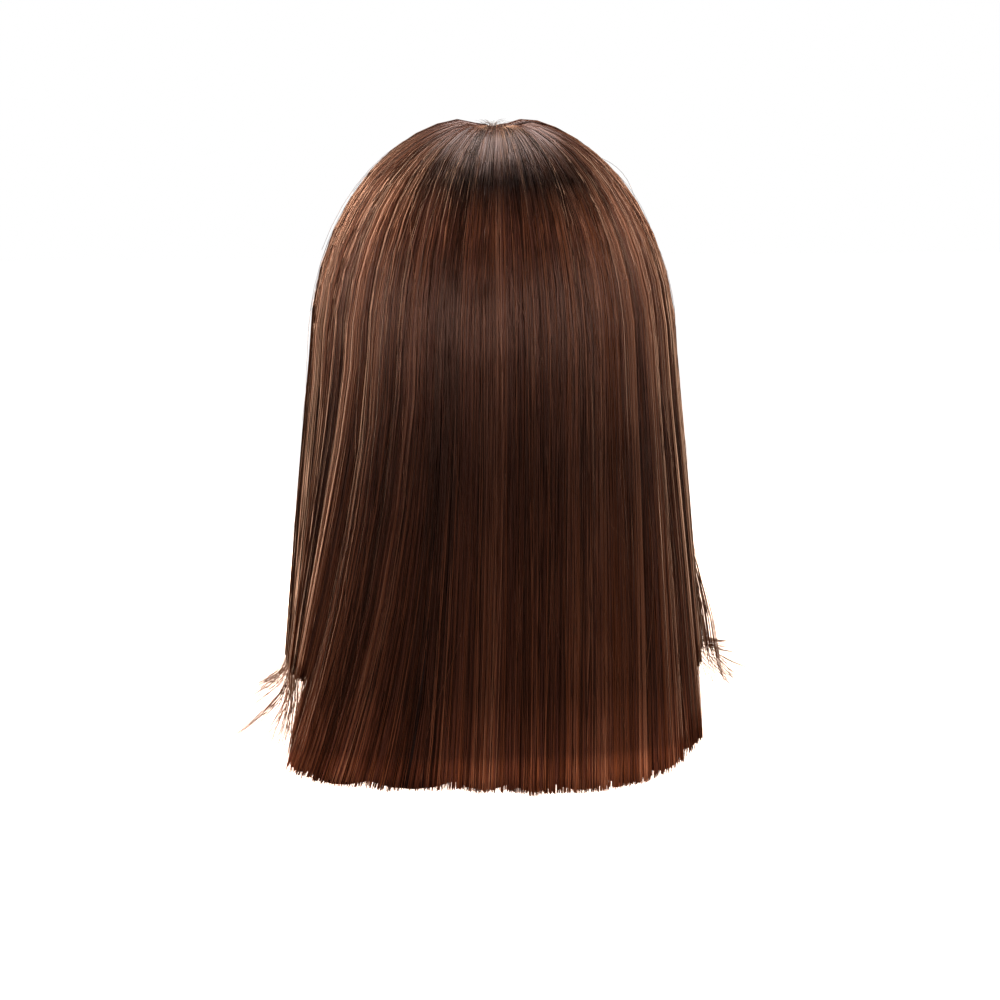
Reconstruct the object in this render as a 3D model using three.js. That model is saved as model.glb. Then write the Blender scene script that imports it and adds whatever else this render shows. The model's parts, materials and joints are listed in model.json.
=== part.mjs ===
// A straight bob wig with a centre parting, in the form it has on a head.
// Millimetres, +Z up. The open face looks along -Y, so +X is the wearer's left.
// The origin is the inner top of the cap, where a head bears.

import * as THREE from 'three';
import { mergeVertices } from 'three/addons/utils/BufferGeometryUtils.js';

// The cap, measured inside
const capHalfWidth = 77;
const capHalfLength = 97;
const capHeight = 100; // from its widest level to its inner top
const capWall = 1.5;
const napeTaper = 0.14; // how much narrower the cap is at the nape than at its widest
const napeDrop = 58; // from its widest level to the nape
const capClearance = 1; // between the cap and the hair tied to it

// The parting
const partingHalfWidth = 4;
const crownBehind = 18; // the parting's back end, behind the middle of the cap
const hairlineAhead = 80; // its front end, ahead of the middle of the cap
const partingDip = 4; // the furrow along the parting
const partingDipWidth = 10;
const stripThickness = 1.2;
const stripGap = 1.2; // to the roots, which lean in over its edges

// The hair as a whole
const hairTop = 9; // above the inner top of the cap
const hairFall = 360; // from the hair's top to the back hem
const domeFall = 130; // how far down the hair still follows the head
const domeSquareness = 2.05;
const earHalfWidth = 100.5;
const hemFlare = 19; // what each side gains from there to the hem
const backReach = 113; // behind the middle of the cap
const backTuck = 4; // what the back loses from there to the hem
const frontReach = 105;
const curtainSquareness = 2.6;

// The layers of hair
const outerThickness = 5.5;
const underThickness = 5;
const layerGap = 0.6;
const nodeGap = 0.6;
const lockRise = 1.6;
const grooveDepth = 3.2;
const underGrooveDepth = 1.6;
const reliefStarts = 0.25; // along the strands, from 0 at the parting to 2 at the tips
const reliefIsFull = 1.5;
const fillFade = 90; // how far below the cap's rim the under layer thins to its own thickness
const tipRounding = 3.5; // how much longer a lock is in its middle than at its edges
const sweepDegrees = 14;
const sweepGrowth = 1.5; // the power that a sweep grows by on its way down
const splayReach = 24;
const splayGrowth = 1.5; // the power that the splay grows by on its way down

// The locks that lie spread where the side hem ends
const spreadReach = 34;
const spreadFall = 46;
const spreadRootThickness = 3;
const spreadTipThickness = 1;
const spreadBend = 1.6; // the power that turns a spread lock outwards on its way
const spreadDroop = 0.8; // the power that its fall grows by
const notchShare = 0.35; // how far the gap between two of them comes from their roots to their tips

// How finely each form is cut
const columnsPerLock = 4;
const domeRows = 9;
const domeBunching = 1.3; // the power that bunches the dome's rows at the parting
const hangRows = 10;
const underColumnsPerLock = 3;
const underHangRows = 6;
const rowsCoveredAlone = 3; // the rows of the dome that only the outer layer has
const capColumns = 32;
const capRows = 8;
const capRowBunching = 1.6; // the power that bunches the cap's rows at its top
const stripRows = 10;
const stripColumns = 4;
const spreadRows = 5;

// The cap's rim by degrees from straight behind, as shares of the cap's height below its top
const rim = [
  { angle: 0, drop: 1.58 },
  { angle: 45, drop: 1.5 },
  { angle: 80, drop: 1.14 },
  { angle: 105, drop: 1.04 },
  { angle: 130, drop: 0.76 },
  { angle: 155, drop: 0.5 },
  { angle: 180, drop: 0.44 },
];

// One row for each furrow between two locks, right to left as seen from behind: its degrees from
// straight behind, its hem as a share of the fall, and shares of the groove and the sweep
const backLocks = [
  { angle: -60, hem: 0.925, groove: 0.8, sweep: 0 },
  { angle: -50, hem: 0.968, groove: 0.5, sweep: 0.05 },
  { angle: -38, hem: 0.99, groove: 0.6, sweep: 0 },
  { angle: -25, hem: 0.998, groove: 0.4, sweep: -0.05 },
  { angle: -11, hem: 1, groove: 0.7, sweep: 0 },
  { angle: 2, hem: 0.996, groove: 0.5, sweep: 0.05 },
  { angle: 14, hem: 0.99, groove: 0.6, sweep: 0.3 },
  { angle: 26, hem: 0.993, groove: 1, sweep: 0.8 },
  { angle: 37, hem: 0.984, groove: 1, sweep: 0.9 },
  { angle: 48, hem: 0.958, groove: 0.7, sweep: 0.5 },
];
const leftLocks = [
  { angle: 48, hem: 0.838, groove: 0.9, sweep: 0.5 },
  { angle: 60, hem: 0.84, groove: 0.8, sweep: 0.55 },
  { angle: 74, hem: 0.844, groove: 0.6, sweep: 0.3 },
  { angle: 90, hem: 0.846, groove: 0.7, sweep: 0.15 },
  { angle: 104, hem: 0.846, groove: 0.6, sweep: 0.05 },
  { angle: 117, hem: 0.85, groove: 0.8, sweep: 0 },
];
const rightLocks = [
  { angle: -117, hem: 0.84, groove: 0.8, sweep: 0 },
  { angle: -104, hem: 0.832, groove: 0.6, sweep: 0 },
  { angle: -92, hem: 0.826, groove: 0.7, sweep: 0 },
  { angle: -81, hem: 0.826, groove: 0.5, sweep: 0 },
  { angle: -70, hem: 0.832, groove: 0.6, sweep: 0 },
  { angle: -60, hem: 0.842, groove: 0.8, sweep: 0 },
];
const frontLocks = [
  { angle: 117, hem: 0.846, groove: 0.8, sweep: 0 },
  { angle: 130, hem: 0.852, groove: 0.6, sweep: 0 },
  { angle: 143, hem: 0.844, groove: 0.3, sweep: 0 },
];
const underBackLocks = [
  { angle: -58, hem: 0.935, groove: 0.5, sweep: 0 },
  { angle: -38, hem: 0.97, groove: 0.5, sweep: 0 },
  { angle: -19, hem: 0.982, groove: 0.5, sweep: 0 },
  { angle: 0, hem: 0.985, groove: 0.5, sweep: 0 },
  { angle: 18, hem: 0.98, groove: 0.5, sweep: 0.4 },
  { angle: 35, hem: 0.975, groove: 0.5, sweep: 0.8 },
  { angle: 49, hem: 0.95, groove: 0.5, sweep: 0.5 },
];
const underSideLocks = [
  { angle: 61, hem: 0.815, groove: 0.5, sweep: 0 },
  { angle: 78, hem: 0.812, groove: 0.5, sweep: 0 },
  { angle: 96, hem: 0.815, groove: 0.5, sweep: 0 },
  { angle: 113, hem: 0.818, groove: 0.5, sweep: 0 },
];

// How far the hem is splayed towards the wearer's left by degrees from straight behind, as shares
const splay = [
  { angle: -70, out: 0 },
  { angle: -56, out: -0.18 },
  { angle: -40, out: 0 },
  { angle: 26, out: 0.05 },
  { angle: 42, out: 0.6 },
  { angle: 55, out: 1 },
  { angle: 68, out: 0.4 },
  { angle: 84, out: 0 },
];

// One row for each spread lock: where it leaves the side hem, and how far its tip reaches and falls
const leftSpread = [
  { angle: 72, reach: 0.25, fall: 0.95 },
  { angle: 78, reach: 0.65, fall: 1 },
  { angle: 84, reach: 1, fall: 0.75 },
  { angle: 90, reach: 0.8, fall: 0.5 },
  { angle: 96, reach: 0.5, fall: 0.3 },
];
const rightSpread = [
  { angle: -72, reach: 0.2, fall: 0.6 },
  { angle: -79, reach: 0.75, fall: 0.55 },
  { angle: -86, reach: 0.7, fall: 0.12 },
  { angle: -93, reach: 0.45, fall: 0.05 },
];

// Colours and finishes
const hairFinish = { color: 0x3b2118, roughness: 0.5, metalness: 0 };
const underFinish = { color: 0x2c1610, roughness: 0.6, metalness: 0 };
const capFinish = { color: 0x2a1a14, roughness: 0.9, metalness: 0 };
const stripFinish = { color: 0xb79a86, roughness: 0.85, metalness: 0 };

const { lerp, smoothstep, degToRad, clamp } = THREE.MathUtils;

/** Reads a column of a table at an angle between two of its rows. */
function readTable(table, angle, column) {
  const found = table.findIndex((row) => row.angle >= angle);
  const to = found < 0 ? table.length - 1 : Math.max(found, 1);
  const before = table[to - 1];
  const after = table[to];
  const share = clamp((angle - before.angle) / (after.angle - before.angle), 0, 1);
  return lerp(before[column], after[column], share);
}

/** Turns a list of loose triangle corners into one closed geometry whose faces point outwards. */
function closedGeometry(corners) {
  const loose = new THREE.BufferGeometry().setFromPoints(corners);
  const merged = mergeVertices(loose);
  const { position } = merged.attributes;
  const index = merged.index.array;
  const kept = [];
  let volume = 0;
  const point = (i) => new THREE.Vector3().fromBufferAttribute(position, i);
  for (let i = 0; i < index.length; i += 3) {
    const [a, b, c] = index.slice(i, i + 3);
    if (a === b || b === c || c === a) continue;
    kept.push([a, b, c]);
    volume += point(a).dot(point(b).cross(point(c)));
  }
  merged.setIndex(kept.flatMap(([a, b, c]) => (volume > 0 ? [a, b, c] : [a, c, b])));
  merged.computeVertexNormals();
  return merged;
}

/** A solid between two grids of points. A ring's last column meets its first. */
function wallBetween(outer, inner, isRing = false) {
  const corners = [];
  const quad = (a, b, c, d) => corners.push(a, b, c, a, c, d);
  const lastRow = outer.length - 1;
  const lastColumn = outer[0].length - 1;
  for (let row = 0; row < lastRow; row++) {
    for (let column = 0; column < lastColumn; column++) {
      const next = column + 1;
      quad(outer[row][column], outer[row + 1][column], outer[row + 1][next], outer[row][next]);
      quad(inner[row][column], inner[row][next], inner[row + 1][next], inner[row + 1][column]);
    }
  }
  for (let column = 0; column < lastColumn; column++) {
    const next = column + 1;
    quad(outer[0][column], outer[0][next], inner[0][next], inner[0][column]);
    quad(outer[lastRow][next], outer[lastRow][column], inner[lastRow][column], inner[lastRow][next]);
  }
  if (!isRing) {
    for (let row = 0; row < lastRow; row++) {
      const next = row + 1;
      quad(outer[next][0], outer[row][0], inner[row][0], inner[next][0]);
      quad(outer[row][lastColumn], outer[next][lastColumn], inner[next][lastColumn], inner[row][lastColumn]);
    }
  }
  return closedGeometry(corners);
}

/** How wide the cap still is at a height, as a share of its width at its widest. */
function capNarrowing(z) {
  const below = clamp((-capHeight - z) / napeDrop, 0, 1);
  return 1 - napeTaper * below * below;
}

/** The point on the cap, or on its skin grown by a margin, in the direction of an angle at a height. */
function capPoint(angle, z, margin) {
  const up = Math.max(0, z + capHeight) / (capHeight + margin);
  const round = Math.sqrt(Math.max(0, 1 - up * up)) * capNarrowing(z);
  const sine = Math.sin(degToRad(angle)) / (capHalfWidth + margin);
  const cosine = Math.cos(degToRad(angle)) / (capHalfLength + margin);
  const radius = round / Math.hypot(sine, cosine);
  return new THREE.Vector3(radius * Math.sin(degToRad(angle)), radius * Math.cos(degToRad(angle)), z);
}

/** Where hair at a point points inwards to, and how far from it the cap with its clearance lies. */
function towardsCap(point) {
  const margin = capWall + capClearance;
  const middle = new THREE.Vector3(0, 0, Math.min(point.z, -capHeight));
  const offset = point.clone().sub(middle);
  const narrowing = capNarrowing(point.z);
  const outside = Math.hypot(
    offset.x / ((capHalfWidth + margin) * narrowing),
    offset.y / ((capHalfLength + margin) * narrowing),
    offset.z / (capHeight + margin),
  );
  const distance = offset.length() * (1 - 1 / outside);
  return { inwards: offset.normalize().negate(), distance };
}

/** Half the parting's outline: a line beside the parting that turns round its back end. */
function rootPoint(angle) {
  const side = Math.sign(angle);
  const turn = Math.abs(angle);
  const facing = degToRad(Math.min(turn, 90));
  const edge = frontLocks[frontLocks.length - 1].angle;
  const ahead = Math.max(0, turn - 90) / (edge - 90);
  return new THREE.Vector2(
    side * partingHalfWidth * Math.sin(facing),
    lerp(crownBehind, -hairlineAhead, ahead) + partingHalfWidth * Math.cos(facing),
  );
}

/** The height of the hair's crest along the parting, which follows the cap's. */
function crestHeight(y) {
  const share = y / (capHalfLength + hairTop);
  return (capHeight + hairTop) * Math.sqrt(1 - share * share) - capHeight;
}

/** The share of the straight fall below the head that lies above a height. */
function shareFallen(z) {
  return clamp((hairTop - z - domeFall) / (hairFall - domeFall), 0, 1);
}

/** The rounded outline that the hair has at a height, in the direction of an angle. */
function outlinePoint(angle, z) {
  const down = shareFallen(z);
  const across = earHalfWidth + hemFlare * down;
  const behind = backReach - backTuck * down;
  const lengthwise = Math.abs(angle) < 90 ? behind : frontReach;
  const power = lerp(domeSquareness, curtainSquareness, down);
  const sine = Math.sin(degToRad(angle));
  const cosine = Math.cos(degToRad(angle));
  const radius = (Math.abs(sine / across) ** power + Math.abs(cosine / lengthwise) ** power) ** (-1 / power);
  const splayed = splayReach * readTable(splay, angle, 'out') * down ** splayGrowth;
  return new THREE.Vector2(radius * sine + splayed, radius * cosine);
}

/** A point on a strand line: along is 0 at the parting, 1 where it leaves the head, 2 at its tip. */
function strandPoint(line, along) {
  const root = rootPoint(line.angle);
  const crest = crestHeight(root.y);
  const leaves = crest - domeFall;
  const tip = hairTop - hairFall * line.hem - tipRounding * line.bulge;
  const turn = (Math.min(along, 1) * Math.PI) / 2;
  const roundness = 2 / domeSquareness;
  const spread = Math.sin(turn) ** roundness;
  const hang = Math.max(0, along - 1);
  const domeZ = crest - domeFall * (1 - Math.max(0, Math.cos(turn)) ** roundness);
  const z = hang > 0 ? lerp(leaves, tip, hang) : domeZ;
  const swept = line.angle + sweepDegrees * line.sweep * shareFallen(z) ** sweepGrowth;
  const place = root.clone().lerp(outlinePoint(swept, z), spread);
  const fromRoot = place.distanceTo(root) / partingDipWidth;
  const dip = partingDip * Math.exp(-fromRoot * fromRoot);
  return new THREE.Vector3(place.x, place.y, z - dip);
}

/** The strand lines of a table of locks, each with its place across its lock. */
function strandLines(locks, perLock) {
  const lines = [];
  for (let i = 0; i < locks.length - 1; i++) {
    const isLast = i === locks.length - 2;
    for (let k = 0; k < perLock + (isLast ? 1 : 0); k++) {
      const share = k / perLock;
      const line = { bulge: Math.sin(Math.PI * share) };
      for (const column of ['angle', 'hem', 'groove', 'sweep']) {
        line[column] = lerp(locks[i][column], locks[i + 1][column], share);
      }
      lines.push(line);
    }
  }
  return lines;
}

/** How far a lock stands out, or its furrow goes in: nothing at the root, most at the tips. */
function lockRelief(line, along) {
  const growth = smoothstep(along, reliefStarts, reliefIsFull);
  const furrow = grooveDepth * line.groove * (1 - line.bulge) ** 2;
  return growth * (lockRise * line.bulge - furrow);
}

/** How far along the strands a row of the dome lies. */
function domePlace(row) {
  return (row / domeRows) ** domeBunching;
}

/** The rows of a layer: the dome's rows from one of them on, then its own down to the tips. */
function rowPlaces(firstRow, hangCount) {
  const places = [];
  for (let row = firstRow; row < domeRows; row++) places.push(domePlace(row));
  for (let row = 0; row <= hangCount; row++) places.push(1 + row / hangCount);
  return places;
}

/** Draws the two edge columns of a grid in, so that neighbouring pieces keep their gap. */
function drawEdgesIn(grid) {
  for (const row of grid) {
    const last = row.length - 1;
    const first = row[0].clone().add(row[1].clone().sub(row[0]).setLength(nodeGap / 2));
    const end = row[last].clone().add(row[last - 1].clone().sub(row[last]).setLength(nodeGap / 2));
    row[0] = first;
    row[last] = end;
  }
  return grid;
}

/** One piece of the outer layer: it bears on the cap at its root and is a wall of hair below. */
function outerHair(locks) {
  const lines = strandLines(locks, columnsPerLock);
  const places = rowPlaces(0, hangRows);
  const underStart = domePlace(rowsCoveredAlone);
  const outer = places.map((along) => lines.map((line) => {
    const point = strandPoint(line, along);
    const { inwards } = towardsCap(point);
    return point.addScaledVector(inwards, -lockRelief(line, along));
  }));
  const inner = places.map((along) => lines.map((line) => {
    const point = strandPoint(line, along);
    const { inwards, distance } = towardsCap(point);
    const rooted = 1 - smoothstep(along, 0, underStart);
    const depth = lerp(Math.min(outerThickness, distance), distance, rooted);
    return point.addScaledVector(inwards, depth);
  }));
  return wallBetween(drawEdgesIn(outer), drawEdgesIn(inner));
}

/** One piece of the under layer: it fills the room down to the cap and hangs inside the outer layer. */
function underHair(locks) {
  const lines = strandLines(locks, underColumnsPerLock);
  const places = rowPlaces(rowsCoveredAlone, underHangRows);
  const top = outerThickness + layerGap;
  const outer = places.map((along) => lines.map((line) => {
    const point = strandPoint({ ...line, bulge: 0 }, along);
    const { inwards } = towardsCap(point);
    const furrow = underGrooveDepth * line.groove * (1 - line.bulge) * smoothstep(along, 1, 2);
    return point.addScaledVector(inwards, top + furrow);
  }));
  const inner = places.map((along) => lines.map((line) => {
    const point = strandPoint({ ...line, bulge: 0 }, along);
    const { inwards, distance } = towardsCap(point);
    const rimZ = -capHeight * readTable(rim, Math.abs(line.angle), 'drop');
    const onCap = smoothstep(point.z, rimZ - fillFade, rimZ);
    const depth = lerp(top + underThickness, distance, onCap);
    return point.addScaledVector(inwards, depth);
  }));
  return wallBetween(drawEdgesIn(outer), drawEdgesIn(inner));
}

/** The cap: a thin dome whose rim runs from the hairline over the ears to the nape. */
function capShell() {
  const skin = (margin) => Array.from({ length: capRows + 1 }, (_, row) => (
    Array.from({ length: capColumns + 1 }, (__, column) => {
      const angle = lerp(-180, 180, column / capColumns);
      const drop = capHeight * readTable(rim, Math.abs(angle), 'drop');
      const z = lerp(margin, -drop, (row / capRows) ** capRowBunching);
      return row === 0 ? new THREE.Vector3(0, 0, margin) : capPoint(angle, z, margin);
    })
  ));
  return wallBetween(skin(capWall), skin(0), true);
}

/** The strip along the parting, on the cap between the roots of the two sides. */
function partingStrip() {
  const halfWidth = partingHalfWidth - stripGap;
  const backEnd = crownBehind - partingHalfWidth;
  const frontEnd = stripGap - hairlineAhead;
  const low = capWall + capClearance;
  const skin = (margin) => Array.from({ length: stripRows + 1 }, (_, row) => (
    Array.from({ length: stripColumns + 1 }, (__, column) => {
      const y = lerp(backEnd, frontEnd, row / stripRows);
      const x = lerp(-halfWidth, halfWidth, column / stripColumns);
      const flat = Math.hypot(x / (capHalfWidth + margin), y / (capHalfLength + margin));
      const z = -capHeight + (capHeight + margin) * Math.sqrt(1 - flat * flat);
      return new THREE.Vector3(x, y, z);
    })
  ));
  return wallBetween(skin(low + stripThickness), skin(low));
}

/** The sparse locks that lie spread outwards from a side hem, joined at their roots. */
function spreadLocks(locks, sideLocks) {
  const columns = [];
  locks.forEach((lock, i) => {
    columns.push({ ...lock, length: 1 });
    if (i < locks.length - 1) {
      const notch = { length: notchShare };
      for (const name of ['angle', 'reach', 'fall']) notch[name] = (lock[name] + locks[i + 1][name]) / 2;
      columns.push(notch);
    }
  });
  const skin = (isTop) => Array.from({ length: spreadRows + 1 }, (_, row) => columns.map((column) => {
    const line = { angle: column.angle, bulge: 1 };
    for (const name of ['hem', 'sweep']) line[name] = readTable(sideLocks, column.angle, name);
    const share = (row / spreadRows) * column.length;
    const hem = strandPoint(line, 2);
    const { inwards } = towardsCap(hem);
    const outwards = inwards.clone().negate();
    const thickness = lerp(spreadRootThickness, spreadTipThickness, row / spreadRows);
    const sink = outerThickness / 2 + (isTop ? -thickness : thickness) / 2;
    return hem.addScaledVector(inwards, sink)
      .addScaledVector(outwards, spreadReach * column.reach * share ** spreadBend)
      .add(new THREE.Vector3(0, 0, -nodeGap - spreadFall * column.fall * share ** spreadDroop));
  }));
  return wallBetween(skin(true), skin(false));
}

/** A table of locks for the other side. */
function mirrored(locks) {
  return locks.map((row) => ({ ...row, angle: -row.angle, sweep: -row.sweep })).reverse();
}

function namedMesh(name, geometry, finish) {
  const mesh = new THREE.Mesh(geometry, new THREE.MeshStandardMaterial(finish));
  mesh.name = name;
  return mesh;
}

const wig = new THREE.Group();
wig.add(
  namedMesh('cap', capShell(), capFinish),
  namedMesh('part_strip', partingStrip(), stripFinish),
  namedMesh('hair_back', outerHair(backLocks), hairFinish),
  namedMesh('hair_left', outerHair(leftLocks), hairFinish),
  namedMesh('hair_right', outerHair(rightLocks), hairFinish),
  namedMesh('front_left', outerHair(frontLocks), hairFinish),
  namedMesh('front_right', outerHair(mirrored(frontLocks)), hairFinish),
  namedMesh('under_back', underHair(underBackLocks), underFinish),
  namedMesh('under_left', underHair(underSideLocks), underFinish),
  namedMesh('under_right', underHair(mirrored(underSideLocks)), underFinish),
  namedMesh('shoulder_left', spreadLocks(leftSpread, leftLocks), hairFinish),
  namedMesh('shoulder_right', spreadLocks(rightSpread, rightLocks), hairFinish),
);

export default wig;
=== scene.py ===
# A straight bob wig with a centre parting, finished strand by strand.
# Metres, +Z up. The open face looks along -Y, and +X is the wearer's left.
# The origin is the inner top of the cap, where a head bears.

import json
import math

import bmesh
import bpy
import numpy as np
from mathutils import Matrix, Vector


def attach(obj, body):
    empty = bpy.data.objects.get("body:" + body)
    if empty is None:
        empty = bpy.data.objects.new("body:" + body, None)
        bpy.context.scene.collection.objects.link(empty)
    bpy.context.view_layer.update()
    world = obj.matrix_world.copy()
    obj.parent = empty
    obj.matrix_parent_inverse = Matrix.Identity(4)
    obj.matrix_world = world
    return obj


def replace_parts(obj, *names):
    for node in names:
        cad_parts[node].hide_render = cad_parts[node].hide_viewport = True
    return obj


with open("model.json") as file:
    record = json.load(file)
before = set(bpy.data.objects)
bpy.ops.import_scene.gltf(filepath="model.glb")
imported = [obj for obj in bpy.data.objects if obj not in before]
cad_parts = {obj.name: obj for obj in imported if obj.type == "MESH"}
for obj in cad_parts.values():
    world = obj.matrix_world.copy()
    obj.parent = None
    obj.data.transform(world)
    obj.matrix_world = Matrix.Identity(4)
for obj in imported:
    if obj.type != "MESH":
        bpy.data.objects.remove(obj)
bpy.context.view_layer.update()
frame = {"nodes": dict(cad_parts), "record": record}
BODY = "root"
MM = 0.001
SEED = 20

# The cap, measured inside, and what lies between it and the hair
CAP_HALF_WIDTH = 77 * MM
CAP_HALF_LENGTH = 97 * MM
CAP_HEIGHT = 100 * MM
CAP_MARGIN = 2.5 * MM
NAPE_TAPER = 0.14
NAPE_DROP = 58 * MM

# The parting
PARTING_HALF_WIDTH = 4 * MM
CROWN_BEHIND = 18 * MM
HAIRLINE_AHEAD = 80 * MM
PARTING_DIP = 4 * MM
PARTING_DIP_WIDTH = 10 * MM

# The hair as a whole
HAIR_TOP = 9 * MM
HAIR_FALL = 360 * MM
DOME_FALL = 130 * MM
DOME_SQUARENESS = 2.05
EAR_HALF_WIDTH = 100.5 * MM
HEM_FLARE = 19 * MM
BACK_REACH = 113 * MM
BACK_TUCK = 4 * MM
FRONT_REACH = 105 * MM
FRONT_EDGE = 143.0
CURTAIN_SQUARENESS = 2.6
SWEEP_DEGREES = 14.0
SWEEP_GROWTH = 1.5
SPLAY_REACH = 24 * MM
SPLAY_GROWTH = 1.5
LOCK_RISE = 1.6 * MM
GROOVE_DEPTH = 3.2 * MM
RELIEF_STARTS = 0.25
RELIEF_IS_FULL = 1.5
INNER_FACE = 11.1 * MM  # how deep the under layer's inner face lies, clear of the cap
FILL_FADE = 90 * MM

# The locks that lie spread where the side hem ends
SPREAD_REACH = 34 * MM
SPREAD_FALL = 46 * MM
SPREAD_BEND = 1.4
SPREAD_DROOP = 0.8

# How far the hem is splayed: degrees from straight behind and shares of SPLAY_REACH
SPLAY_COLUMNS = ("angle", "out")
SPLAY_ROWS = (
    (-70, 0),
    (-56, -0.18),
    (-40, 0),
    (26, 0.05),
    (42, 0.6),
    (55, 1),
    (68, 0.4),
    (84, 0),
)

# The cap's rim: degrees from straight behind, and shares of the cap's height below its top
RIM_COLUMNS = ("angle", "drop")
RIM_ROWS = (
    (0, 1.58),
    (45, 1.5),
    (80, 1.14),
    (105, 1.04),
    (130, 0.76),
)

# One row for each furrow between two locks: degrees from straight behind, the hem as a share of the
# fall, and shares of the groove and the sweep
LOCK_COLUMNS = ("angle", "hem", "groove", "sweep")
BACK_LOCKS = (
    (-60, 0.925, 0.8, 0),
    (-50, 0.968, 0.5, 0.05),
    (-38, 0.99, 0.6, 0),
    (-25, 0.998, 0.4, -0.05),
    (-11, 1, 0.7, 0),
    (2, 0.996, 0.5, 0.05),
    (14, 0.99, 0.6, 0.3),
    (26, 0.993, 1, 0.8),
    (37, 0.984, 1, 0.9),
    (48, 0.958, 0.7, 0.5),
)
LEFT_LOCKS = (
    (48, 0.838, 0.9, 0.5),
    (60, 0.84, 0.8, 0.55),
    (74, 0.844, 0.6, 0.3),
    (90, 0.846, 0.7, 0.15),
    (104, 0.846, 0.6, 0.05),
    (117, 0.85, 0.8, 0),
)
RIGHT_LOCKS = (
    (-117, 0.84, 0.8, 0),
    (-104, 0.832, 0.6, 0),
    (-92, 0.826, 0.7, 0),
    (-81, 0.826, 0.5, 0),
    (-70, 0.832, 0.6, 0),
    (-60, 0.842, 0.8, 0),
)
FRONT_LOCKS = (
    (117, 0.846, 0.8, 0),
    (130, 0.852, 0.6, 0),
    (143, 0.844, 0.3, 0),
)
UNDER_BACK_LOCKS = (
    (-58, 0.935, 0.5, 0),
    (-38, 0.97, 0.5, 0),
    (-19, 0.982, 0.5, 0),
    (0, 0.985, 0.5, 0),
    (18, 0.98, 0.5, 0.4),
    (35, 0.975, 0.5, 0.8),
    (49, 0.95, 0.5, 0.5),
)
UNDER_SIDE_LOCKS = (
    (61, 0.815, 0.5, 0),
    (78, 0.812, 0.5, 0),
    (96, 0.815, 0.5, 0),
    (113, 0.818, 0.5, 0),
)

# One row for each spread lock: where it leaves the side hem, how far its tip reaches and falls
SPREAD_COLUMNS = ("angle", "reach", "fall")
LEFT_SPREAD = (
    (66, 0.1, 0.8),
    (72, 0.25, 0.95),
    (78, 0.65, 1),
    (84, 1, 0.75),
    (90, 0.8, 0.5),
    (96, 0.5, 0.3),
)
RIGHT_SPREAD = (
    (-93, 0.45, 0.05),
    (-86, 0.7, 0.12),
    (-79, 0.75, 0.55),
    (-72, 0.2, 0.6),
)


def columns(names, rows):
    return dict(zip(names, np.array(rows, float).T))


def mirrored(rows):
    """A table of locks for the other side."""
    return tuple((-angle, hem, groove, -sweep) for angle, hem, groove, sweep in reversed(rows))


SPLAY = columns(SPLAY_COLUMNS, SPLAY_ROWS)
RIM = columns(RIM_COLUMNS, RIM_ROWS)
LOCKS = {
    "hair_back": columns(LOCK_COLUMNS, BACK_LOCKS),
    "hair_left": columns(LOCK_COLUMNS, LEFT_LOCKS),
    "hair_right": columns(LOCK_COLUMNS, RIGHT_LOCKS),
    "front_left": columns(LOCK_COLUMNS, FRONT_LOCKS),
    "front_right": columns(LOCK_COLUMNS, mirrored(FRONT_LOCKS)),
    "under_back": columns(LOCK_COLUMNS, UNDER_BACK_LOCKS),
    "under_left": columns(LOCK_COLUMNS, UNDER_SIDE_LOCKS),
    "under_right": columns(LOCK_COLUMNS, mirrored(UNDER_SIDE_LOCKS)),
}

# The strands of each piece: how many, their rings, how deep they lie in millimetres, and how far from
# the parting they start
PIECE_COLUMNS = ("name", "node", "count", "rings", "shallow", "deep", "first_start", "last_start")
STRAND_PIECES = (
    ("back_strands", "hair_back", 1900, 18, -0.9, 1.2, 0, 0.3),
    ("back_fill_strands", "hair_back", 1950, 13, 0.0, 3.8, 0, 0.9),
    ("left_strands", "hair_left", 1700, 18, -0.9, 3.0, 0, 0.4),
    ("right_strands", "hair_right", 1600, 18, -0.9, 3.0, 0, 0.4),
    ("front_left_strands", "front_left", 560, 17, -0.9, 4.5, 0, 0.3),
    ("front_right_strands", "front_right", 560, 17, -0.9, 4.5, 0, 0.3),
    ("under_back_strands", "under_back", 1600, 7, 8.5, 11.8, 1.05, 1.25),
    ("under_left_strands", "under_left", 550, 7, 8.5, 11.8, 1.0, 1.2),
    ("under_right_strands", "under_right", 550, 7, 8.5, 11.8, 1.0, 1.2),
)
SIDES = 3
DOME_SHARE = 0.67  # of a strand's rings, spent on its first half
RING_WAVE = 7  # degrees over which the rings of neighbouring strands shift
TIP_BUNCHING = 1.5  # the power that bunches the rings towards the tips
ROOT_BUNCHING = 1.4  # the same at the roots
STRAND_RADIUS = 0.27 * MM
THICKNESSES = (0.7, 1.25)  # of it, from the thinnest strand to the thickest
TIP_TAPER = 0.5  # of a strand's own radius, at its tip
TAPER_STARTS = 1.88
FINE_TAPER = 0.6  # of its radius, that a fan's, an edge's or a short hair loses at its tip
FRAY = 1.3 * MM
FRAY_BELOW_HEM = 0.8  # of it, that the longest strands reach below the hem
STREAK_WIDTHS = (0.5, 2.2)  # degrees that share a tone
TONE_RANGE = (0.15, 0.85)  # mean tones that become the darkest and the lightest
FURROW_SHADE = 0.8  # of its tone, that a strand loses at the bottom of a furrow

# The wisps that strands gather in
WISP_WIDTH = 1.7  # degrees
WISP_MIDDLES = (0.2, 0.8)  # of its width, between which a wisp's middle lies
WISP_HOLD = 0.45  # how far the tightest wisp draws its strands to its middle
WISP_LIFT = 0.35 * MM
WISP_TIP = 0.5 * MM
WISP_LEAN = 0.5  # degrees

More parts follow.
